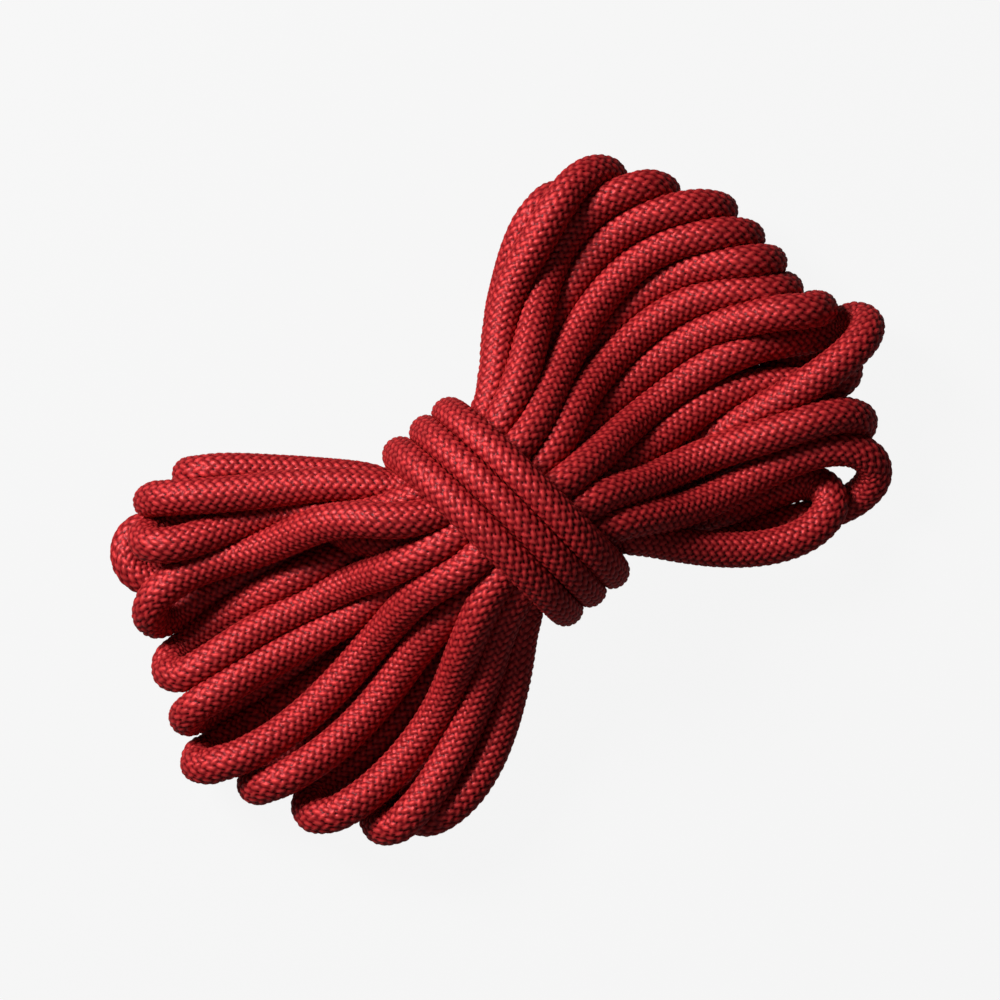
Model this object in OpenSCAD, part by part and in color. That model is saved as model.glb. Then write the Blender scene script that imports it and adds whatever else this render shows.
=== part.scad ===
// A dynamic kernmantle climbing rope, wound by hand into a bow-tie hank and bound with its own tail.
// X runs along the hank, Y across it and Z up. The hank lies on the plane z = 0, with its origin
// under the middle of the waist. The loops are closed solids of the hank's outer shape, and the
// two ends of the rope, which lie inside the loops, are cut like a sample: sheath, core and tip.

/* [Rope] */
// Outer diameter of the rope
rope_d = 8; // [7.2:0.1:10]
// Wall of the braided sheath, as a share of the diameter
sheath_share = 0.11; // [0.08:0.01:0.14]
// Radius of the middle core strand, as a share of the core's radius
middle_strand_share = 0.36; // [0.25:0.01:0.45]

/* [Hank] */
// Turns of the tail round the waist
wraps = 3; // [2:1:4]
// Width of the bundle inside the wraps, in rope diameters
bundle_w = 5.9; // [5.6:0.1:6.5]
// Height of the bundle inside the wraps, in rope diameters
bundle_h = 5; // [4.6:0.1:5.4]
// Thickness of a wrap that is pulled tight, in rope diameters
wrap_t = 0.95; // [0.8:0.01:1]
// Height of the loops where they lie on the ground, in rope diameters
loops_h = 3.3; // [3:0.1:4.5]
// Radius that rounds the edge of the loops, in rope diameters
loops_edge = 1.1; // [0.5:0.1:1.2]

/* [Ends] */
// Length of rope drawn at each end, in rope diameters
end_l = 4.5; // [3:0.1:5]
// Distance of each end's tip from the middle of the waist, in rope diameters
end_reach = 8.6; // [8:0.1:9]
// Height of the ends above the ground, in rope diameters
end_h = 1; // [0.9:0.1:1.5]
// Distance of the start's end from the middle of the hank, in rope diameters
start_y = 1.3; // [0:0.1:2]
// Length of the shrunk band on each end
band_l = 18; // [8:1:20]
// Thickness of the shrunk band
band_t = 0.35; // [0.2:0.05:0.5]
// Length of the heat-fused tip
tip_l = 2.4; // [1.5:0.1:4]
// Diameter of the year thread
thread_d = 0.7; // [0.4:0.1:0.8]

/* [Hidden] */
$fn = 64;

rope_red = [0.72, 0.07, 0.10];
core_white = [0.92, 0.91, 0.88];
band_black = [0.07, 0.07, 0.08];
thread_blue = [0.10, 0.28, 0.62];

// The round parts of each end's outline, as [x, y, radius] in rope diameters.
left_outline = [
    [-7.2, 5.65, 1.6], [-8.9, 5.2, 1.6], [-10.9, 0.6, 1.6],
    [-10, -2.3, 1.4], [-8.3, -4.5, 1.3], [-6.7, -5.2, 1.2]
];
right_outline = [
    [6.4, 5.4, 1.6], [8.4, 5, 1.8], [9.9, 2.6, 1.6],
    [11.05, -2, 1.45], [8.6, -5.6, 1.65], [6.2, -5.2, 1.5]
];

sheath_in = rope_d / 2 - sheath_share * rope_d;
middle_r = middle_strand_share * sheath_in;
outer_strands = 6;
strand_angle = 360 / outer_strands;
waist_l = wraps * rope_d;
// The bundle is round at its sides and flat for a little between them.
bundle_r = bundle_h * rope_d / 2;
flat_half = (bundle_w - bundle_h) * rope_d / 2;
wrap_mid_r = bundle_r + wrap_t * rope_d / 2;
wrap_out_r = bundle_r + wrap_t * rope_d;
// The wraps are pressed a little flat where they lie on the ground.
press = 0.15 * rope_d;
waist_z = wrap_out_r - press;
end_z = end_h * rope_d;
tip_x = end_reach * rope_d;
rope_end_l = end_l * rope_d;
// The tip's face is a low dome.
tip_dome = 0.8;

// A flat round slab with rounded edges, which stands on the ground.
module pad(r, h, edge) {
    foot = edge * 0.4;
    rotate_extrude($fn = 32) polygon(concat(
        [[0, 0]],
        [for (a = [-90:30:0]) [r - foot + foot * cos(a), foot + foot * sin(a)]],
        [for (a = [0:15:90]) [r - edge + edge * cos(a), h - edge + edge * sin(a)]],
        [[0, h]]
    ));
}

// The bundle's section, drawn out along X from x = 0 for the length l.
module bundle(l) {
    rotate([90, 0, 90]) linear_extrude(l) hull()
        for (s = [-1, 1]) translate([s * flat_half, 0]) circle(r = bundle_r);
}

// A thin slice of the bundle, where the loops meet the bound waist.
module waist_disc(side) {
    disc_l = 0.5 * rope_d;
    translate([side * (waist_l + disc_l) / 2 - disc_l / 2, 0, waist_z]) bundle(disc_l);
}

// The outer shape of the loops on one side of the waist.
module loops_shape(outline, side) {
    hull() {
        waist_disc(side);
        for (p = outline)
            translate([p[0] * rope_d, p[1] * rope_d, 0])
                pad(p[2] * rope_d, loops_h * rope_d, loops_edge * rope_d);
    }
}

// Places a rope end, drawn along +Z with its tip at the origin and its rope below, in its loops.
// The start lies in the left loops and the tail in the right ones.
module in_place(side) {
    y = side < 0 ? start_y * rope_d : 0;
    translate([side * tip_x, y, end_z]) rotate([0, side * 90, 0]) children();
}

// Half of the fused tip's section: a short plug with a low dome.
module tip_section() {
    translate([0, -tip_l]) square([rope_d / 2, tip_l - tip_dome]);
    translate([0, -tip_dome]) polygon([
        for (a = [0:10:90]) [rope_d / 2 * cos(a), tip_dome * sin(a)], [0, 0]
    ]);
}

module fused_tip() {
    rotate_extrude() tip_section();
}

// All of one rope end, as a plug that is cut out of the loops around it.
module rope_end_plug() {
    fused_tip();
    translate([0, 0, -tip_l - band_l]) cylinder(r = rope_d / 2 + band_t, h = band_l);
    translate([0, 0, -rope_end_l]) cylinder(d = rope_d, h = rope_end_l - tip_l);
}

module sheath_tube() {
    translate([0, 0, -rope_end_l]) difference() {
        cylinder(d = rope_d, h = rope_end_l - tip_l);
        translate([0, 0, -1]) cylinder(r = sheath_in, h = rope_end_l);
    }
}

module band_tube() {
    translate([0, 0, -tip_l - band_l]) difference() {
        cylinder(r = rope_d / 2 + band_t, h = band_l);
        translate([0, 0, -1]) cylinder(d = rope_d, h = band_l + 2);
    }
}

// The year thread lies in the core, between two of the outer strands.
module thread_rod(extra) {
    translate([(middle_r + sheath_in) / 2, 0, -rope_end_l - extra])
        cylinder(d = thread_d, h = rope_end_l - tip_l + 2 * extra, $fn = 24);
}

// One strand of the core, which the tight sheath presses into a wedge. The first is the middle one.
module strand(n) {
    l = rope_end_l - tip_l;
    translate([0, 0, -rope_end_l]) {
        if (n == 1)
            cylinder(r = middle_r, h = l);
        else
            rotate([0, 0, (n - 2) * strand_angle])
                rotate_extrude(angle = strand_angle)
                    translate([middle_r, 0]) square([sheath_in - middle_r, l]);
    }
}

module left_loops() {
    color(rope_red) difference() {
        loops_shape(left_outline, -1);
        in_place(-1) rope_end_plug();
    }
}

module right_loops() {
    color(rope_red) difference() {
        loops_shape(right_outline, 1);
        in_place(1) rope_end_plug();
    }
}

// The runs of rope that pass through the waist, pressed into one bundle.
module bound_runs() {
    color(rope_red * 0.8) translate([-waist_l / 2, 0, waist_z]) bundle(waist_l);
}

// The section of one turn of the tail, with a rounded outer face, at its distance from the axis.
module wrap_section() {
    round_r = wrap_t * rope_d / 2;
    translate([bundle_r, -rope_d / 2]) square([round_r, rope_d]);
    translate([wrap_mid_r, 0]) intersection() {
        circle(d = rope_d);
        translate([0, -rope_d / 2]) square([round_r, rope_d]);
    }
}

// One turn of the tail: round at both sides of the bundle and straight above and below it.
module wrap_ring() {
    for (turn = [0, 180]) rotate([0, 0, turn]) {
        translate([0, flat_half, 0]) rotate_extrude(angle = 180) wrap_section();
        translate([0, flat_half, 0]) rotate([90, 0, 0])
            linear_extrude(2 * flat_half) wrap_section();
    }
}

// The tail's turns round the waist.
module waist_wraps() {
    color(rope_red) intersection() {
        translate([-waist_l / 2, 0, waist_z]) rotate([0, 90, 0])
            for (i = [0:wraps - 1]) translate([0, 0, (i + 0.5) * rope_d]) wrap_ring();
        translate([-waist_l, -2 * wrap_out_r, 0])
            cube([2 * waist_l, 4 * wrap_out_r, 4 * wrap_out_r]);
    }
}

module core_strand(n) {
    color(core_white)
        for (side = [-1, 1])
            in_place(side) difference() {
                strand(n);
                thread_rod(1);
            }
}

module year_thread() {
    color(thread_blue) for (side = [-1, 1]) in_place(side) thread_rod(0);
}

module start_sheath() { color(rope_red) in_place(-1) sheath_tube(); }
module tail_sheath() { color(rope_red) in_place(1) sheath_tube(); }
module start_band() { color(band_black) in_place(-1) band_tube(); }
module tail_band() { color(band_black) in_place(1) band_tube(); }
module start_fused_tip() { color(rope_red * 0.6) in_place(-1) fused_tip(); }
module tail_fused_tip() { color(rope_red * 0.6) in_place(1) fused_tip(); }

left_loops();
bound_runs();
right_loops();
waist_wraps();
start_sheath();
tail_sheath();
core_strand(1);  // core_strand_1
core_strand(2);  // core_strand_2
core_strand(3);  // core_strand_3
core_strand(4);  // core_strand_4
core_strand(5);  // core_strand_5
core_strand(6);  // core_strand_6
core_strand(7);  // core_strand_7
year_thread();
start_band();
tail_band();
start_fused_tip();
tail_fused_tip();
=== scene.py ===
import math

import bpy
import numpy as np
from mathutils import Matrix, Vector


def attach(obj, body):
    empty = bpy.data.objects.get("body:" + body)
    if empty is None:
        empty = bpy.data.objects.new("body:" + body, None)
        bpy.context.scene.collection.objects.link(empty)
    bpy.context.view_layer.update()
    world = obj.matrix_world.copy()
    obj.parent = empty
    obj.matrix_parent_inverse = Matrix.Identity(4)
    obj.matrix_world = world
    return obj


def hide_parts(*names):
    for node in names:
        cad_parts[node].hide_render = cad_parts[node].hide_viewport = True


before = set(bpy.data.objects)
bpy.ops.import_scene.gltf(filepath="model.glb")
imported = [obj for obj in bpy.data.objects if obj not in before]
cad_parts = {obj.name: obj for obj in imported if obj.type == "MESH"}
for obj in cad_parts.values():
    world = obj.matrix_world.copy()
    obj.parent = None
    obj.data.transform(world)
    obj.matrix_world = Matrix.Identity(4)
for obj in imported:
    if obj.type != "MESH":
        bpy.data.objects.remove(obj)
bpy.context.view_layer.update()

# ---------------------------------------------------------------- sizes
# The hank is laid out in rope diameters. Its long axis is x, its waist is at x = y = 0, and it
# lies on z = 0.
D = 0.008  # the rope's diameter, in metres
WAIST_H = 3.3  # height of the waist's axis
BUNDLE_HALF = (2.5, 2.0)  # half width and half height of the bound runs' centre lines
WRAP_HALF = (3.36, 2.92)  # the same for the wraps round them
END_TIP, END_MIDDLE, END_ROOT = 8.6, 6.5, 4.1  # |x| of three places on each end's straight stretch
END_H = 1.0  # height of both ends
START_Y = 1.3  # the start's; the tail's is at y = 0
STATIONS = (2.1, 3.0, 4.5, 6.0, 7.5, 9.0, 10.2, 11.2)  # |x| of the places where a run's y is given
TINY = 1e-6  # stands in for zero where something is divided by it

# ---------------------------------------------------------------- the camera
ROLL = math.radians(-39)
LOOK_AT = (0.216 * D, 0.41 * D)
CAMERA_H = 0.72
SENSOR = 36  # in millimetres
VIEW_H, VIEW_W = 2.5, 30.3  # at this height, the view takes in this width
camera_data = bpy.data.cameras.new("camera")
camera_data.sensor_width = SENSOR
camera_data.lens = SENSOR * (CAMERA_H - VIEW_H * D) / (VIEW_W * D)
camera_data.clip_start, camera_data.clip_end = 0.01, 20
camera = bpy.data.objects.new("camera", camera_data)
camera.location = (*LOOK_AT, CAMERA_H)
camera.rotation_euler = (0, 0, ROLL)
bpy.context.scene.collection.objects.link(camera)
bpy.context.scene.camera = camera


# ---------------------------------------------------------------- the rope's route
def loop(out, back, tip=None, heading=0, lean=5, bend=0.95, high=2.0, low=0.5, turn=None):
    """One bight of the hank. out and back are where its upper and its lower run lie, as y, or (y, z),
    at each station, and high and low the z of each where none is given. tip is its outermost point.
    It heads the way that heading says, in degrees from straight out. lean is how far it has toppled,
    and bend its radius there. Instead of these four, turn gives the points round a tip that lies in
    a shape of its own."""
    return dict(out=out, back=back, tip=tip, heading=heading, lean=lean, bend=bend, high=high, low=low,
                turn=turn)


LEFT = {
    "A": loop([2.85, 3.95, 5.4, 6.65], [2.5, 3.4, 4.9, 6.3], (6.95, 7.1), 38, bend=0.85, high=1.7),
    "B": loop([2.6, 3.6, 4.75, 5.8, 6.95], [2.1, 2.7, 4.1, 5.6, 6.4], (8.35, 6.85), -25,
              lean=10, bend=0.8, high=2.5),
    "C": loop([2.1, 2.6, 3.5, 4.35, 5.3], [1.8, 2.2, 2.9, (4.6, 1.3), (5.9, 1.2)],
              turn=[(8.6, 5.95, 2.1), (8.95, 6.35, 2.0), (8.75, 6.8, 1.5), (8.2, 6.6, 1.0)]),
    "D": loop([2.1, 2.6, 3.3, 4.3, 5.1], [1.8, 2.0, 2.8, 4.2, 4.75, 5.25],
              turn=[(9.0, 6.6, 0.6), (9.55, 6.7, 0.9), (9.9, 6.3, 1.1), (9.65, 5.6, 0.8)], high=0.6),
    "E": loop([(2.55, 2.8), (3.0, 2.7), (3.5, 2.5), 3.9, 4.4, 4.75], [2.1, 2.5, 3.1, 3.7, 4.0, 3.85],
              turn=[(9.7, 4.85, 2.1), (10.2, 4.5, 1.9), (10.3, 3.95, 1.3), (9.8, 3.8, 0.6)]),
    "F": loop([0.95, 1.05, 1.35, 1.65, 1.95, 2.25],
              [1.9, 2.2, (2.4, 1.8), (2.55, 1.6), (2.85, 1.4), (3.4, 1.1)], (10.85, 3.05), 38, lean=-40),
    "G": loop([0.2, 0.2, 0.35, 0.6, 0.9, 1.2], [-0.2, 0.0, 0.2, 0.2, 0.1, 0.3, 0.5],
              (11.6, 1.25), 15, lean=24),
    "I": loop([0.2, 0.0, -0.3, -0.6, -0.85, -0.95, -0.75],
              [-0.3, -0.5, (-0.5, 0.8), (-0.45, 1.1), (-0.35, 1.1), (-0.15, 0.8), 0.25, 0.65],
              (11.85, 0.05), 30, lean=-14),
    "J": loop([-0.95, -1.2, -1.5, -1.9, -2.2, -2.15], [-1.0, -1.2, -1.5, -1.6, -1.6, -1.5],
              (11.2, -1.5), 25, lean=-5),
    "L": loop([-2.1, -2.5, -3.15, -3.65, -3.9, -3.75], [-1.6, -1.9, -2.5, -3.1, -3.5, -3.4],
              (10.3, -2.95), 42, lean=-30),
    "M": loop([-2.5, -3.0, -3.95, -4.75, -5.15], [-2.1, -2.4, -3.1, -3.9, -4.5],
              (9.0, -4.7), 25, lean=-30),
    "N": loop([-3.75, -4.4, -5.3, (-5.85, 1.0)], [-3.0, -3.6, -4.4, -4.9], (8.0, -5.05), 25,
              lean=-50, bend=0.8, high=1.1),
}
RIGHT = {
    "R1": loop([3.05, 3.95, 5.3, 6.15], [2.6, 3.3, 4.6, 5.6], (7.4, 6.25), -10, high=1.7),
    "R2": loop([2.8, 3.45, 4.7, 5.7, 6.6], [2.4, 2.9, 3.9, 4.8, 5.4],
               turn=[(8.3, 6.65, 2.2), (8.95, 6.15, 1.9), (9.05, 5.5, 1.2), (8.5, 5.3, 0.6)], high=2.3),
    "R3": loop([2.4, 3.0, 4.2, 5.0, 5.5, 5.3], [2.3, 2.6, 3.4, 4.1, 4.7, 4.6], (9.85, 4.1), -68,
               lean=10, bend=0.85),
    "R4": loop([2.2, 2.7, 3.5, 4.1, 4.55, 4.45], [2.5, 2.8, 3.2, 3.5, 3.9, 3.9], (10.85, 2.65), -68,
               lean=-12, bend=0.85, low=0.9),
    "R5": loop([1.9, 2.2, 2.75, 3.15, 3.4, 3.35, 2.95], [1.8, 2.0, 2.4, 2.8, 3.1, 3.0, 2.6],
               (11.0, 1.5), -68, lean=-12, bend=0.85),
    "R5b": loop([1.4, 1.5, 1.9, 2.2, 2.35, 2.3, 1.8], [1.1, 1.4, 1.8, 2.1, 2.3, 2.2, 1.7],
                (11.0, 0.6), -62, lean=-8, high=1.7),
    "R6": loop([1.1, 1.15, 1.4, 1.6, 1.7, 1.5, 0.95], [0.8, 0.9, 1.1, 1.3, 1.4, 1.3, 0.9],
               (11.0, -0.35), -64, lean=-8, bend=0.85),
    "R7": loop([0.4, 0.4, 0.5, 0.6, 0.6, 0.35, (-0.12, 2.3)],
               [0.0, 0.0, -0.3, -0.8, -0.95, -1.0, (-0.8, 0.9)],
               turn=[(10.85, -0.85, 2.8), (11.45, -1.6, 2.2), (10.9, -0.8, 1.5)]),
    "R8": loop([-0.4, -0.4, -0.4, -0.4, (-0.45, 2.1), (-0.65, 2.6), (-1.05, 2.2), (-1.75, 1.1)],
               [-0.5, -0.9, -1.5, (-2.0, 1.4), (-2.3, 2.0), (-2.6, 2.5), (-2.7, 2.6), (-2.7, 2.7)],
               turn=[(11.95, -1.8, 1.0), (12.2, -2.15, 1.6), (11.9, -2.6, 2.3)]),
    "R9": loop([-0.9, -1.0, -1.1, -1.3, -1.45, (-1.8, 1.7)], [-0.7, -0.6, -0.8, -1.4, -2.0, -2.3],
               turn=[(9.75, -2.55, 1.5), (10.1, -3.1, 1.2), (10.7, -3.05, 0.8), (11.25, -2.65, 0.5),
                     (11.2, -2.15, 0.5), (10.3, -2.35, 0.5), (9.7, -2.4, 0.5)]),
    "R11": loop([-1.4, -1.55, -1.95, (-2.45, 2.3), (-3.05, 2.7), (-3.8, 2.7)],
                [-2.0, -2.4, -3.1, -3.8, -4.3], (10.1, -5.0), -65, lean=25, low=0.7),
    "R13": loop([-2.6, -3.0, -3.45, -3.8, -4.15, -4.75], [-2.3, -3.0, -4.4, -5.3, -5.7],
                turn=[(9.75, -5.35, 1.9), (9.9, -5.95, 1.6), (9.4, -6.45, 1.2), (8.5, -6.4, 0.6)]),
    "R14": loop([-2.8, -3.6, -5.0, -6.0], [-2.6, -3.2, -3.9, -4.6],
                turn=[(7.1, -6.25, 1.4), (7.95, -6.1, 1.5), (8.4, -5.6, 1.4), (8.25, -5.15, 1.0),
                      (7.6, -5.1, 0.6)], high=1.7),
}
# The winding, turn by turn: the loops that it makes, and where it goes through the waist above and
# below the middle. UPPER gives y on the left side, y on the right side and the height over the
# waist's axis, LOWER y and the depth under it.
UPPER = [("start", "R5b", 0.45, 0.45, 0.42), ("E", "R5", 2.25, 1.4, 1.7), ("D", "R4", 1.0, 1.2, 1.0),
         ("C", "R3", 1.35, 2.0, 1.2), ("B", "R2", 2.45, 2.4, 0.45), ("A", "R1", 2.4, 2.5, -0.45),
         ("F", "R6", 0.4, 0.4, 2.05), ("G", "R7", 0.05, 0.05, 1.2), ("I", "R8", -0.55, -0.55, 2.05),
         ("J", "R9", -0.9, -0.9, 1.25), ("L", "R11", -1.4, -1.4, 2.0), ("M", "R13", -1.9, -1.9, 1.2),
         ("N", "R14", -2.75, -2.6, 0.42)]
LOWER = [("R5b", "E", 0.5, 0.45), ("R5", "D", 0.95, 1.25), ("R4", "C", 1.0, 2.0), ("R3", "B", 1.9, 1.25),
         ("R2", "A", 1.6, -0.4), ("R1", "F", 1.6, 0.2), ("R6", "G", 0.0, 2.0), ("R7", "I", 0.0, 1.2),
         ("R8", "J", -0.55, 0.42), ("R9", "L", -1.0, 2.0), ("R11", "M", -0.95, 1.2),
         ("R13", "N", -1.9, 1.25), ("R14", "wraps", -1.5, 0.42)]
WAIST_X = 1.2  # |x| of the places where those heights hold
WRAP_TOPS, WRAP_BOTTOMS = (-1.25, -0.22, 0.63), (-0.3, 0.6, 1.48)  # x of each wrap at +y and at -y
WRAP_STEP = 15  # degrees between the points of a wrap
WRAP_LEAD = 0.8  # under 1, a wrap goes over to its other x a little early
FIRST_ANGLES = (300, 320, 340)  # where the first wrap comes up round the bundle
FIRST_X, FIRST_DRIFT = -1.45, 0.0025  # x at the first of these, and how much it grows with a degree
LAST_ANGLE, LAST_SHIFT = 240, 0.15  # where the last wrap goes under the hank, and how far along x
RISE = {2.1: 0.88, 3.0: 0.6, 4.5: 0.2, 6.0: 0.04}  # how much of the waist's height a run keeps there
FLOOR = 0.5  # the lowest a centre line may lie
FREE, PINNED, WRAPPED = 0, 1, 2  # the kinds of points: only the free ones move as the rope settles


def ellipse(x, angle):
    """A point of a wrap, at an angle round the bundle: 0 at +y, 90 on top."""
    a = math.radians(angle)
    return (x, WRAP_HALF[0] * math.cos(a), max(FLOOR, WAIST_H + WRAP_HALF[1] * math.sin(a)))


def bight(row, side, above, below):
    """The points of one loop, from the waist out along its upper run, round its tip and back along
    its lower run, and which of them is the tip."""
    def run(stops, height, at_waist):
        for x, stop in zip(STATIONS, stops):
            y, z = stop if isinstance(stop, tuple) else (stop, height)
            k = RISE.get(x, 0)
            yield (x, y, k * at_waist + (1 - k) * z)

    top, bottom = WAIST_H + above[1], WAIST_H - below[1]
    upper = [(WAIST_X, above[0], top), *run(row["out"], row["high"], top)]
    lower = [(WAIST_X, below[0], bottom), *run(row["back"], row["low"], bottom)]
    turn = row["turn"]
    if not turn:
        heading, lean, r = math.radians(row["heading"]), math.radians(row["lean"]), row["bend"]
        ahead = np.array([math.cos(heading), math.sin(heading), 0])
        up = [-math.sin(heading) * math.sin(lean), math.cos(heading) * math.sin(lean), math.cos(lean)]
        up = np.array(up)
        centre = np.array([*row["tip"], FLOOR + r * abs(math.cos(lean))]) - ahead * r
        turn = [centre + up * r, centre + ahead * r, centre - up * r]
    pts = np.array([tuple(p) for p in (*upper, *turn, *lower[::-1])], float)
    pts[:, 2] = np.maximum(pts[:, 2], FLOOR)
    pts[:, 0] *= side
    return [tuple(p) for p in pts], len(upper) + (len(turn) - 1) // 2


def wraps():
    """The turns round the waist. The half of each that lies on top carries it along x."""
    for k, (top, bottom) in enumerate(zip(WRAP_TOPS, WRAP_BOTTOMS)):
        for angle in range(0, 180, WRAP_STEP):
            f = (angle / 180) ** WRAP_LEAD
            yield ellipse(top + (bottom - top) * f * f * (3 - 2 * f), angle)
        if k + 1 < len(WRAP_TOPS):
            for angle in range(180, 360, WRAP_STEP):
                yield ellipse(bottom + (WRAP_TOPS[k + 1] - bottom) * (angle - 180) / 180, angle)
    for angle in range(180, LAST_ANGLE + 1, WRAP_STEP):
        yield ellipse(WRAP_BOTTOMS[-1] + LAST_SHIFT * (angle - 180) / (LAST_ANGLE - 180), angle)


def route():
    """Every point that the rope is led through, each one's kind, and which are the tips of loops."""
    pts = [(-x, START_Y, END_H) for x in (END_TIP, END_MIDDLE, END_ROOT)]
    kinds = [PINNED] * len(pts)
    tips = []

    def add(more, kind=FREE):
        pts.extend(tuple(p) for p in more)
        kinds.extend([kind] * (len(pts) - len(kinds)))

    # The start comes up from inside the left loops into the waist.
    add([(-2.8, 1.0, 2.4), (-WAIST_X, UPPER[0][2], WAIST_H + UPPER[0][4])])
    for i, (_, right, _, y_right, height) in enumerate(UPPER):
        below = LOWER[i][2:]
        more, tip = bight(RIGHT[right], 1, (y_right, height), below)
        tips.append(len(pts) + tip)
        add(more)
        if i + 1 < len(UPPER):
            left, _, y_left, _, height = UPPER[i + 1]
            more, tip = bight(LEFT[left], -1, (y_left, height), below)
            tips.append(len(pts) + len(more) - 1 - tip)
            add(more[::-1])
    # The last run dives to the ground behind the waist, and comes up round it as the first wrap.
    y, z = LOWER[-1][2], WAIST_H - LOWER[-1][3]
    add([(-WAIST_X, y, z), (-2.4, y - 0.2, z - 0.9), (-3.1, y + 0.6, z - 1.9), (-2.5, 0.6, 0.55)])
    add([ellipse(FIRST_X + FIRST_DRIFT * (a - FIRST_ANGLES[0]), a) for a in FIRST_ANGLES], WRAPPED)
    add(wraps(), WRAPPED)
    # From under the last wrap, the tail goes straight into the right loops.
    add([(2.1, -0.9, 0.55), (2.9, -0.3, 0.7)])
    add([(x, 0, END_H) for x in (END_ROOT, END_MIDDLE, END_TIP)], PINNED)
    return np.array(pts, float), np.array(kinds), tips


def curve(pts, step):
    """A centripetal Catmull-Rom curve through pts, and the place of each of them on it."""
    p = np.vstack([2 * pts[0] - pts[1], pts, 2 * pts[-1] - pts[-2]])
    out, places = [], []
    for p0, p1, p2, p3 in zip(p[:-3], p[1:-2], p[2:-1], p[3:]):
        places.append(sum(map(len, out)))
        n = max(2, int(np.linalg.norm(p2 - p1) / step))
        t1 = max(np.linalg.norm(p1 - p0), TINY) ** 0.5
        t2 = t1 + max(np.linalg.norm(p2 - p1), TINY) ** 0.5
        t3 = t2 + max(np.linalg.norm(p3 - p2), TINY) ** 0.5
        t = np.linspace(t1, t2, n, endpoint=False)[:, None]
        a1 = ((t1 - t) * p0 + t * p1) / t1
        a2 = ((t2 - t) * p1 + (t - t1) * p2) / (t2 - t1)
        a3 = ((t3 - t) * p2 + (t - t2) * p3) / (t3 - t2)
        b1 = ((t2 - t) * a1 + t * a2) / t2
        b2 = ((t3 - t) * a2 + (t - t1) * a3) / (t3 - t1)
        out.append(((t2 - t) * b1 + (t - t1) * b2) / (t2 - t1))
    out.append(p[-2:-1])
    places.append(sum(map(len, out)) - 1)
    return np.vstack(out), places


def along(p):
    """How far along the line each of its points is."""
    return np.r_[0, np.cumsum(np.linalg.norm(np.diff(p, axis=0), axis=1))]


def near_pairs(p, reach, gap):
    """The pairs of points that are closer than reach and at least gap points apart along the line."""
    q = p.astype(np.float32)
    square = (q * q).sum(1)
    d2 = square[:, None] + square[None, :] - 2 * q @ q.T
    return np.nonzero(np.triu(d2 < reach * reach, gap))


# ---------------------------------------------------------------- how it settles
# Lengths are in rope diameters.
SPACING = 0.94  # how close two runs' centre lines come: the sheath gives a little
STEP = 0.5  # from one point of the settling line to the next
CURVE_STEP = 0.05  # the same on the curve that it is taken from
ROUNDS, QUICK_ROUNDS = 300, 120
PASSES = 3  # in each round, over everything that holds the rope in shape
NEIGHBOURS = 1.7  # places closer than this along the rope don't press on each other
LISTED = 1.35  # pairs of places up to this far apart are listed to be kept apart
RELIST = 8  # rounds from one list to the next
LATE = 0.8  # after this share of the rounds nothing sinks, and the route pulls less
SINK = 0.006  # how far it sinks in a round
DRAW, LATE_DRAW = 0.1, 0.03  # how much of the way to the route it goes in a round
DRAW_AXES = [1, 1, 0.5]  # and how much of that along each axis
BENDS = ((2, 0.14), (1, 0.08))  # at this many points' reach, how stiffly it resists a bend
CHORDS = ((2, 0.93), (4, 1.62))  # over this many steps, the shortest straight distance
YIELD = 0.7  # how much of an overlap one pass clears
HOLD_X, HOLD_FADE = 1.9, 0.4  # the wraps squeeze the bundle up to this |x|, and fade before it
HOLD_SHIFT, HOLD_SLANT = 0.14, 0.15  # where the wraps' middle is, and how they slant over the bundle
# The hand that winds the hank keeps its loops together: at each of these |x|, the highest and the
# lowest y of the centre lines on each side.
FENCE_X = (1.9, 3, 4, 5, 6, 7, 8.6)
FENCES = {  # -1 is the left side
    -1: ((2.75, 3.9, 4.85, 5.75, 6.65, 7.15, 7.05), (-3.6, -4.15, -4.9, -5.5, -5.9, -5.95, -5.6)),
    1: ((3.15, 4.1, 4.95, 5.7, 6.35, 6.55, 6.7), (-2.8, -3.6, -4.55, -5.6, -6.15, -6.35, -6.5)),
}
# How strongly the route draws the rope: on runs above ON_TOP from one |x| and fully after a stretch,
# on the runs under them from further out and less, and most at the loops' tips.
ON_TOP = 1.5
TOP_FROM, TOP_OVER = 1.9, 1.0
BELOW_FROM, BELOW_OVER, BELOW_MOST = 4, 1.5, 0.8
TIP_PULL, TIP_SPREAD = 3.0, 1.6


def unbend(p, free):
    """Draws each point towards the middle of its neighbours, and them away from it."""
    for reach, stiffness in BENDS:
        bend = ((p[2 * reach:] + p[:-2 * reach]) / 2 - p[reach:-reach]) * stiffness
        change = np.zeros_like(p)
        change[reach:-reach] += bend
        change[2 * reach:] -= bend / 2
        change[:-2 * reach] -= bend / 2
        p += change * free[:, None] * 0.5


def keep_length(p, free, step):
    """Brings neighbours back to one step from each other, every other pair first."""
    for odd in (0, 1):
        m = len(p[odd + 1::2])
        a, b = p[odd:-1:2][:m], p[odd + 1::2]
        wa, wb = free[odd:-1:2][:m, None], free[odd + 1::2][:, None]
        d = b - a
        length = np.linalg.norm(d, axis=1, keepdims=True)
        change = d / length * (length - step) / np.maximum(wa + wb, TINY)
        a += change * wa
        b -= change * wb


def open_folds(p, free):
    """Keeps a fold from closing tighter than the rope can bend."""
    for reach, chord in CHORDS:
        d = p[reach:] - p[:-reach]
        length = np.maximum(np.linalg.norm(d, axis=1), TINY)
        wa, wb = free[:-reach], free[reach:]
        short = np.clip(chord - length, 0, None) * 0.5 / length / np.maximum(wa + wb, TINY)
        p[reach:] += d * (short * wb)[:, None]
        p[:-reach] -= d * (short * wa)[:, None]


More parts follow.
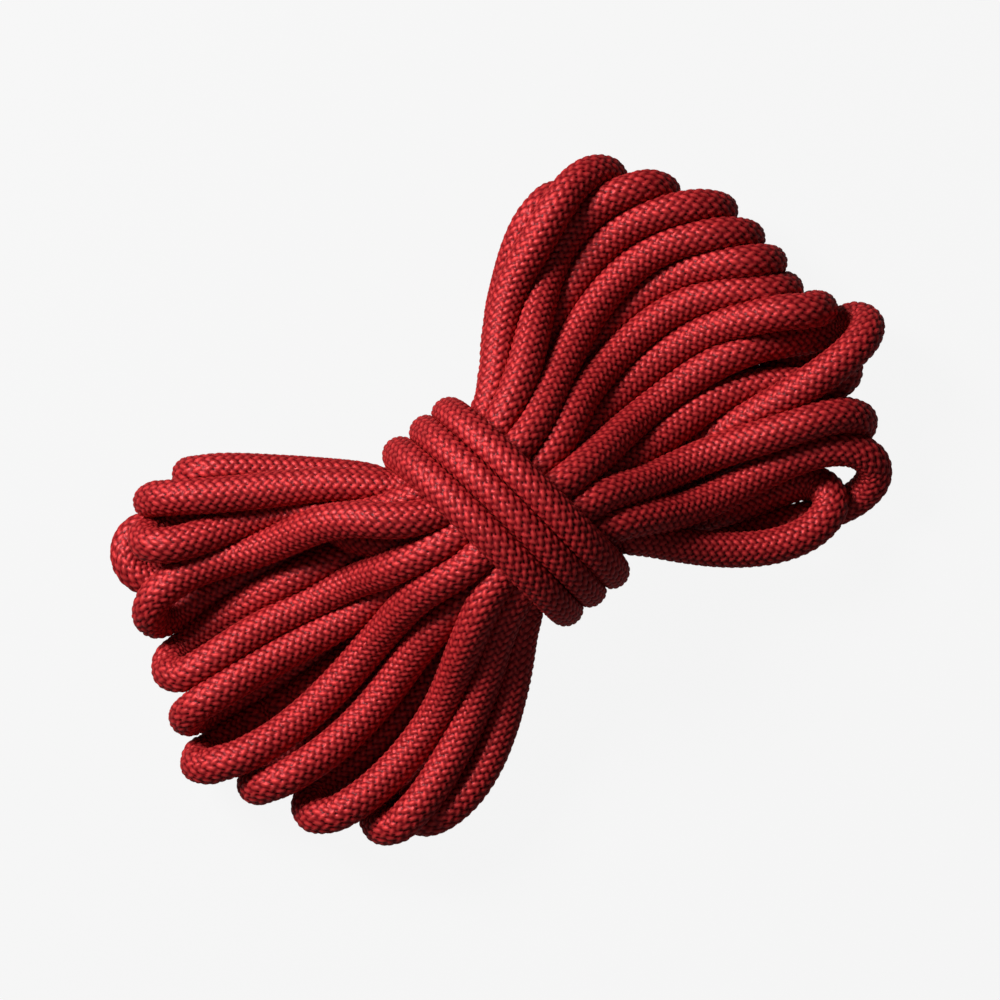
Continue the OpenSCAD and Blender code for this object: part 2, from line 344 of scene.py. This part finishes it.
def push_apart(p, free, first, second):
    """Moves runs that overlap apart, each point by its share of all that presses on it."""
    n = len(p)
    d = p[second] - p[first]
    length = np.linalg.norm(d, axis=1)
    hit = length < SPACING
    i, j, d, length = first[hit], second[hit], d[hit], length[hit]
    deep = (SPACING - length) / np.maximum(length, TINY) / np.maximum(free[i] + free[j], TINY)
    push = d * deep[:, None]
    share = YIELD / np.sqrt(np.maximum(np.bincount(np.r_[i, j], minlength=n), 1))
    for c in range(3):
        ahead = np.bincount(j, push[:, c] * free[j], n)
        p[:, c] += (ahead - np.bincount(i, push[:, c] * free[i], n)) * share


def hold(p, free):
    """Squeezes the waist into its bundle, and keeps the rope above the floor and within the fences."""
    x = np.abs(p[:, 0] - HOLD_SHIFT + HOLD_SLANT * p[:, 1])
    held = np.clip((HOLD_X - x) / HOLD_FADE, 0, 1) * (free > 0)
    out = np.maximum(np.hypot(p[:, 1] / BUNDLE_HALF[0], (p[:, 2] - WAIST_H) / BUNDLE_HALF[1]), TINY)
    k = np.where(out > 1, (1 / out - 1) * held, 0)
    p[:, 1] += p[:, 1] * k
    p[:, 2] += (p[:, 2] - WAIST_H) * k
    p[:, 2] = np.where(free > 0, np.maximum(p[:, 2], FLOOR), p[:, 2])
    for side, (high, low) in FENCES.items():
        at = p[:, 0] * side
        loose = (free > 0) & (at > FENCE_X[0])
        fenced = np.clip(p[:, 1], np.interp(at, FENCE_X, low), np.interp(at, FENCE_X, high))
        p[:, 1] = np.where(loose, fenced, p[:, 1])


def settle(goal, free, pull, step, rounds):
    """Lets the rope lie down from its route, goal. free is 0 at the points that stay where they are,
    and pull says how strongly each one is drawn to its place on the route."""
    p = goal.copy()
    for turn in range(rounds):
        if turn % RELIST == 0:
            first, second = near_pairs(p, LISTED, math.ceil(NEIGHBOURS / step))
        late = turn > LATE * rounds
        p[:, 2] -= SINK * free * (not late)
        p += (goal - p) * DRAW_AXES * (pull * (LATE_DRAW if late else DRAW) * free)[:, None]
        for _ in range(PASSES):
            unbend(p, free)
            keep_length(p, free, step)
            open_folds(p, free)
            push_apart(p, free, first, second)
            hold(p, free)
    return p


def rope_line(rounds):
    """The rope's centre line, settled, as points about STEP apart."""
    pts, kinds, tips = route()
    fine, places = curve(pts, CURVE_STEP)
    length = along(fine)
    at = length[places]
    n = int(round(length[-1] / STEP)) + 1
    s = np.linspace(0, length[-1], n)
    p = np.stack([np.interp(s, length, fine[:, c]) for c in range(3)], 1)
    seg = np.clip(np.searchsorted(at, s, side="right") - 1, 0, len(at) - 2)
    free = np.where((kinds[seg] > FREE) & (kinds[seg + 1] == kinds[seg]), 0.0, 1.0)
    x = np.abs(p[:, 0])
    top = np.clip((x - TOP_FROM) / TOP_OVER, 0, 1)
    below = np.clip((x - BELOW_FROM) / BELOW_OVER, 0, 1) * BELOW_MOST
    pull = np.where(p[:, 2] > ON_TOP, top, below)
    for tip in tips:
        pull = np.maximum(pull, TIP_PULL * np.exp(-(((s - at[tip]) / TIP_SPREAD) ** 2)))
    return settle(p, free, pull, length[-1] / (n - 1), rounds)


# ---------------------------------------------------------------- the rope's surface
AROUND = 72  # vertices round the rope, four to a column of the braid
RINGS = 18  # rings to a diameter of length
COLUMNS = 18  # of floats, round the rope
PICK = 0.265  # one float of the braid to the next, along the rope
TILT = math.radians(33)  # how far a float slants from the rope's axis
FLOAT_HALF = (0.158, 0.092)  # half length and half width of a float
FLOAT_POWER = (2.6, 2.2)  # how blunt it is along and across
FULL = 0.56  # the radius of the floats' crests where nothing presses on the rope
PRESSED = 0.36  # the least that a run beside it can press this to
RELIEF = 0.1  # from the crests down to the gaps between floats
END_R = 0.49  # the crests' radius under the bands at the ends
BAND_END, SWELL = 2.6, 0.1  # the bands end this far from a tip, and past them it widens at this rate
SAMPLES = 3  # to a diameter of length, for measuring the room round the rope
SPREAD = 5  # samples that a dent in it is spread over
TOUCHING = 1.4  # only runs with centre lines closer than this can press on it
BESIDE = 0.45  # and only where they are less than this ahead of the place or behind it
NOTHING_NEAR = 9.0  # the room where nothing is near
LEVEL = 1e-3  # less than this towards another run or the floor counts as not towards it
WANDER = ((0.9, 9.0, 0), (0.6, 23.0, 1.0))  # how far the columns turn, how slowly, from what phase
SCATTER = (0.61803, 7, 0.137)  # gives neighbouring floats numbers that are far apart


def smooth(values, width):
    """A moving average along the rope."""
    kernel = np.hanning(width + 2)[1:-1]
    kernel /= kernel.sum()
    pad = width // 2
    padded = np.concatenate([values[:1]] * pad + [values] + [values[-1:]] * pad)
    flat = padded.reshape(len(padded), -1)
    out = np.stack([np.convolve(flat[:, c], kernel, "valid") for c in range(flat.shape[1])], 1)
    return out[:len(values)].reshape(values.shape)


def frames(p):
    """Unit tangents along p, and a pair of cross axes that turn with it without twisting."""
    t = np.gradient(p, axis=0)
    t /= np.linalg.norm(t, axis=1, keepdims=True)
    side = np.cross(t[0], [0, 0, 1.0])
    sides = [side / np.linalg.norm(side)]
    for u in t[1:]:
        v = sides[-1] - u * (sides[-1] @ u)
        sides.append(v / np.linalg.norm(v))
    sides = np.array(sides)
    return t, sides, np.cross(t, sides)


def room(p, t, a, b, angles, gap):
    """How far the rope can reach from its line, at each place and angle, before it meets the run
    beside it, or the floor."""
    reach = np.full((len(p), len(angles)), FULL)
    first, second = near_pairs(p, TOUCHING, gap)
    i, j = np.r_[first, second], np.r_[second, first]
    d = p[j] - p[i]
    half = (d * d).sum(1) / 2
    ahead = (d * t[i]).sum(1)
    facing = np.abs(ahead) < BESIDE
    i, d, half = i[facing], d[facing], half[facing]
    da, db = (d * a[i]).sum(1), (d * b[i]).sum(1)
    for k, angle in enumerate(angles):
        c = da * math.cos(angle) + db * math.sin(angle)
        limit = np.where(c > LEVEL, half / np.maximum(c, LEVEL), NOTHING_NEAR)
        best = np.full(len(p), NOTHING_NEAR)
        np.minimum.at(best, i, limit)
        down = -(a[:, 2] * math.cos(angle) + b[:, 2] * math.sin(angle))
        ground = np.where(down > LEVEL, p[:, 2] / np.maximum(down, LEVEL), NOTHING_NEAR)
        best = np.minimum(best, ground)
        reach[:, k] = np.clip(best, PRESSED, FULL)
    return reach


def radii(p, t, a, b, s, angles):
    """The radius of the floats' crests at every vertex, flattened where the rope is pressed."""
    rings = len(p)
    coarse = np.arange(0, rings, RINGS // SAMPLES)
    gap = math.ceil(NEIGHBOURS * SAMPLES)
    wide = room(p[coarse], t[coarse], a[coarse], b[coarse], angles[::2], gap)
    wide = smooth(wide, SPREAD)
    wide = np.stack([np.interp(np.arange(rings), coarse, wide[:, k]) for k in range(wide.shape[1])], 1)
    wide = smooth(wide, RINGS // 2)
    both = np.empty((rings, AROUND))
    both[:, ::2] = wide
    both[:, 1::2] = (wide + np.roll(wide, -1, axis=1)) / 2
    wide = (np.roll(both, 1, axis=1) + 2 * both + np.roll(both, -1, axis=1)) / 4
    at_end = np.minimum(s, s[-1] - s)
    return np.minimum(wide, END_R + np.clip((at_end - BAND_END) * SWELL, 0, 1)[:, None])


def floats(rings):
    """The height of the braid, 0 in the gaps to 1 on the crests, at every vertex, and a number for
    the float it is on."""
    column = np.arange(AROUND) * COLUMNS / AROUND + 0.5
    s = np.arange(rings) / RINGS
    height = np.zeros((rings, AROUND))
    owner = np.zeros((rings, AROUND))
    width = math.pi / COLUMNS
    for dk in (-1, 0, 1):
        k = np.floor(column) + dk
        odd = np.mod(k, 2)
        across = (column - k - 0.5) * width
        for dm in (-1, 0, 1):
            m = np.floor(s[:, None] / PICK - 0.5 * odd) + dm
            dv = s[:, None] - (m + 0.5 + 0.5 * odd) * PICK
            sign = 1 - 2 * odd
            u = dv * math.cos(TILT) + sign * across * math.sin(TILT)
            v = across * math.cos(TILT) - sign * dv * math.sin(TILT)
            u, v = np.abs(u / FLOAT_HALF[0]) ** FLOAT_POWER[0], np.abs(v / FLOAT_HALF[1]) ** FLOAT_POWER[1]
            h = np.sqrt(np.clip(1 - u - v, 0, 1))
            better = h > height
            height = np.where(better, h, height)
            owner = np.where(better, m * COLUMNS + np.mod(k, COLUMNS), owner)
    return height, owner


def tube(name, co, rings):
    """A mesh of rings of AROUND vertices, closed at both ends by the two last vertices of co. Its UV
    map goes round the tube in u, and along it in v, in diameters."""
    i, j = np.meshgrid(np.arange(rings - 1), np.arange(AROUND), indexing="ij")
    k = (j + 1) % AROUND
    quads = [i * AROUND + j, i * AROUND + k, (i + 1) * AROUND + k, (i + 1) * AROUND + j]
    quads = np.stack(quads, -1).reshape(-1, 4)
    ring = np.arange(AROUND)
    start = np.stack([np.roll(ring, -1), ring, np.full(AROUND, rings * AROUND)], 1)
    last = (rings - 1) * AROUND
    end = np.stack([last + ring, last + np.roll(ring, -1), np.full(AROUND, rings * AROUND + 1)], 1)
    mesh = bpy.data.meshes.new(name)
    mesh.vertices.add(len(co))
    mesh.vertices.foreach_set("co", co.astype(np.float32).ravel())
    corners = np.concatenate([quads.ravel(), start.ravel(), end.ravel()]).astype(np.int32)
    sizes = np.concatenate([np.full(len(quads), 4), np.full(2 * AROUND, 3)])
    mesh.loops.add(len(corners))
    mesh.loops.foreach_set("vertex_index", corners)
    mesh.polygons.add(len(sizes))
    mesh.polygons.foreach_set("loop_start", np.r_[0, np.cumsum(sizes)[:-1]].astype(np.int32))
    mesh.polygons.foreach_set("loop_total", sizes.astype(np.int32))
    uv = mesh.uv_layers.new(name="UVMap")
    u = np.stack([j, j + 1, j + 1, j], -1).reshape(-1) / AROUND
    v = np.stack([i, i, i + 1, i + 1], -1).reshape(-1) / RINGS
    uvs = np.zeros((len(corners), 2), np.float32)
    uvs[:len(u), 0], uvs[:len(u), 1] = u, v
    uv.data.foreach_set("uv", uvs.ravel())
    return mesh


def rope_mesh(name, line):
    """The whole rope as one object, with each vertex's height and its float's number, and its line."""
    length = along(line)
    rings = int(length[-1] * RINGS) + 1
    s = np.linspace(0, length[-1], rings)
    p = np.stack([np.interp(s, length, line[:, c]) for c in range(3)], 1)
    p = smooth(p, RINGS)
    p[0], p[-1] = line[0], line[-1]
    t, a, b = frames(p)
    # The sheath's columns wander slowly round the rope.
    twist = sum(turn * np.sin(s / slow + phase) for turn, slow, phase in WANDER)
    ca, sa = np.cos(twist)[:, None], np.sin(twist)[:, None]
    a, b = a * ca + b * sa, b * ca - a * sa
    angles = np.arange(AROUND) * 2 * math.pi / AROUND
    height, owner = floats(rings)
    r = radii(p, t, a, b, s, angles) - RELIEF * (1 - height)
    out = a[:, None, :] * np.cos(angles)[None, :, None] + b[:, None, :] * np.sin(angles)[None, :, None]
    co = (p[:, None, :] + out * r[:, :, None]).reshape(-1, 3)
    mesh = tube(name, np.vstack([co, p[:1], p[-1:]]) * D, rings)
    tone = np.mod(owner * SCATTER[0] + np.floor(owner / SCATTER[1]) * SCATTER[2], 1.0)
    for label, values in (("crest", height), ("float", tone)):
        layer = mesh.attributes.new(label, "FLOAT", "POINT")
        layer.data.foreach_set("value", np.r_[values.ravel(), 0.5, 0.5].astype(np.float32))
    mesh.update(calc_edges=True)
    mesh.polygons.foreach_set("use_smooth", np.ones(len(mesh.polygons), bool))
    piece = bpy.data.objects.new(name, mesh)
    bpy.context.scene.collection.objects.link(piece)
    return piece, p * D


rope, centre = rope_mesh("rope", rope_line(ROUNDS))


# ---------------------------------------------------------------- materials
# The sheath's colours between its floats, on their flanks and on their crests: the yarn's red on the
# crests, with painted shade on the flanks and in the gaps.
GAP_PAINTED_SHADE, FLANK_PAINTED_SHADE, CREST = (0.035, 0.0006, 0.0015), (0.25, 0.005, 0.009), (0.56, 0.034, 0.033)
TONES = (0.82, 1.14)  # how light the darkest and the lightest float are beside these
SMOOTHEST, ROUGHEST = 0.42, 0.56  # the floats' roughness


def graph(name):
    """A new material, its shader, and what adds a node to it and a link."""
    material = bpy.data.materials.new(name)
    material.use_nodes = True
    nodes, links = material.node_tree.nodes, material.node_tree.links

    def node(kind, **values):
        n = nodes.new(kind)
        for key, value in values.items():
            if hasattr(n, key):
                setattr(n, key, value)
            else:
                n.inputs[key.replace("_", " ").title()].default_value = value
        return n

    return material, nodes["Principled BSDF"], node, links.new


def ramp(node, first, last, middle=()):
    """A colour ramp. first, last and each of middle are a place on it and the colour there."""
    colours = node("ShaderNodeValToRGB")
    elements = colours.color_ramp.elements
    for element, (place, colour) in zip(elements, (first, last)):
        element.position, element.color = place, (*colour, 1)
    for place, colour in middle:
        elements.new(place).color = (*colour, 1)
    return colours


def span(node, low, high):
    """Maps 0 to 1 onto low to high."""
    spread = node("ShaderNodeMapRange")
    spread.inputs["To Min"].default_value, spread.inputs["To Max"].default_value = low, high
    return spread


def sheath_material():
    """The yarn's red on the crests, and painted shade that darkens it over the flanks to a deep red in the
    gaps between floats, with each float a little lighter or darker than the next, and rubbed more or less
    smooth."""
    material, bsdf, node, link = graph("sheath")
    crest = node("ShaderNodeAttribute", attribute_name="crest")
    tone = node("ShaderNodeAttribute", attribute_name="float")
    # Painted shade: the colour darkens with the relief, from the yarn's red on the crests to near black in
    # the gaps.
    deep = ramp(node, (0.15, GAP_PAINTED_SHADE), (1.0, CREST), middle=[(0.62, FLANK_PAINTED_SHADE)])
    link(crest.outputs["Fac"], deep.inputs["Fac"])
    vary = node("ShaderNodeHueSaturation")
    spread = span(node, *TONES)
    link(tone.outputs["Fac"], spread.inputs["Value"])
    link(spread.outputs["Result"], vary.inputs["Value"])
    link(deep.outputs["Color"], vary.inputs["Color"])
    link(vary.outputs["Color"], bsdf.inputs["Base Color"])
    bsdf.inputs["Metallic"].default_value = 0.3
    bsdf.inputs["Specular IOR Level"].default_value = 0.2
    rubbed = span(node, SMOOTHEST, ROUGHEST)
    link(tone.outputs["Fac"], rubbed.inputs["Value"])
    link(rubbed.outputs["Result"], bsdf.inputs["Roughness"])
    return material


def end_material(name, dark, light, rough, grain, depth, stretch=(1, 1, 1)):
    """A grained finish: colour between dark and light, its roughness between two values, and a fine
    relief. grain is the scale of the noise and stretch how it is drawn out along x, y and z."""
    material, bsdf, node, link = graph(name)
    place = node("ShaderNodeTexCoord")
    drawn = node("ShaderNodeMapping")
    drawn.inputs["Scale"].default_value = stretch
    link(place.outputs["Object"], drawn.inputs["Vector"])
    noise = node("ShaderNodeTexNoise", scale=grain, detail=4.0)
    link(drawn.outputs["Vector"], noise.inputs["Vector"])
    tint = ramp(node, (0.3, dark), (0.7, light))
    link(noise.outputs["Fac"], tint.inputs["Fac"])
    link(tint.outputs["Color"], bsdf.inputs["Base Color"])
    spread = span(node, *rough)
    link(noise.outputs["Fac"], spread.inputs["Value"])
    link(spread.outputs["Result"], bsdf.inputs["Roughness"])
    relief = node("ShaderNodeBump")
    relief.inputs["Strength"].default_value, relief.inputs["Distance"].default_value = 0.5, depth
    link(noise.outputs["Fac"], relief.inputs["Height"])
    link(relief.outputs["Normal"], bsdf.inputs["Normal"])
    return material


rope.data.materials.append(sheath_material())
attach(rope, "root")
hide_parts("left_loops", "bound_runs", "right_loops", "waist_wraps", "start_sheath", "tail_sheath")

YARN = (0.08, 1, 1)  # the yarns run along the rope, which lies along x at its ends
finishes = {
    "core_strand": end_material("core", (0.55, 0.53, 0.49), (0.86, 0.85, 0.82), rough=(0.5, 0.7),
                                grain=1800, depth=0.0002, stretch=YARN),
    "year_thread": end_material("thread", (0.04, 0.09, 0.36), (0.13, 0.26, 0.7), rough=(0.5, 0.7),
                                grain=2500, depth=0.0001, stretch=YARN),
    "band": end_material("band", (0.012, 0.012, 0.014), (0.035, 0.035, 0.038), rough=(0.32, 0.5),
                         grain=700, depth=0.00005),
    "fused_tip": end_material("tip", (0.12, 0.003, 0.006), (0.38, 0.02, 0.025), rough=(0.18, 0.4),
                              grain=500, depth=0.0003),
}
for name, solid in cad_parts.items():
    for word, finish in finishes.items():
        if word in name:
            for place in solid.material_slots:
                place.material = finish


# ---------------------------------------------------------------- floor and light
GLOW_SENT, GLOW_SEEN = 0.15, 0.9  # how the floor glows towards the hank, and towards the camera


def floor_material():
    """An even near-white to the camera, which sends back less light than it shows, so that the
    rope's undersides stay deep."""
    material, bsdf, node, link = graph("white_floor")
    bsdf.inputs["Base Color"].default_value = (0.01, 0.01, 0.01, 1)
    bsdf.inputs["Roughness"].default_value = 0.9
    bsdf.inputs["Specular IOR Level"].default_value = 0.25
    bsdf.inputs["Emission Color"].default_value = (1, 1, 1, 1)
    ray = node("ShaderNodeLightPath")
    glow = span(node, GLOW_SENT, GLOW_SEEN)
    link(ray.outputs["Is Camera Ray"], glow.inputs["Value"])
    link(glow.outputs["Result"], bsdf.inputs["Emission Strength"])
    return material


def lamp(name, where, size, power):
    """A square white lamp that faces the middle of the hank."""
    data = bpy.data.lights.new(name, "AREA")
    data.size, data.energy = size, power
    light = bpy.data.objects.new(name, data)
    light.location = where
    light.rotation_euler = (-Vector(where)).to_track_quat("-Z", "Y").to_euler()
    bpy.context.scene.collection.objects.link(light)


# The floor goes on past every view, and lies half a millimetre below z = 0, clear of the rope.
bpy.ops.mesh.primitive_plane_add(size=20, location=(0, 0, -0.0005))
floor = bpy.context.object
floor.name = "floor"
floor.data.materials.append(floor_material())
lamp("key", (-0.18, 0.72, 0.62), size=0.3, power=14.0)
lamp("fill", (-0.5, -0.3, 1.1), size=0.9, power=1.0)
world = bpy.data.worlds.new("studio")
world.use_nodes = True
world.node_tree.nodes["Background"].inputs["Color"].default_value = (1, 1, 1, 1)
world.node_tree.nodes["Background"].inputs["Strength"].default_value = 0.05
bpy.context.scene.world = world
bpy.context.scene.view_settings.view_transform = "Standard"
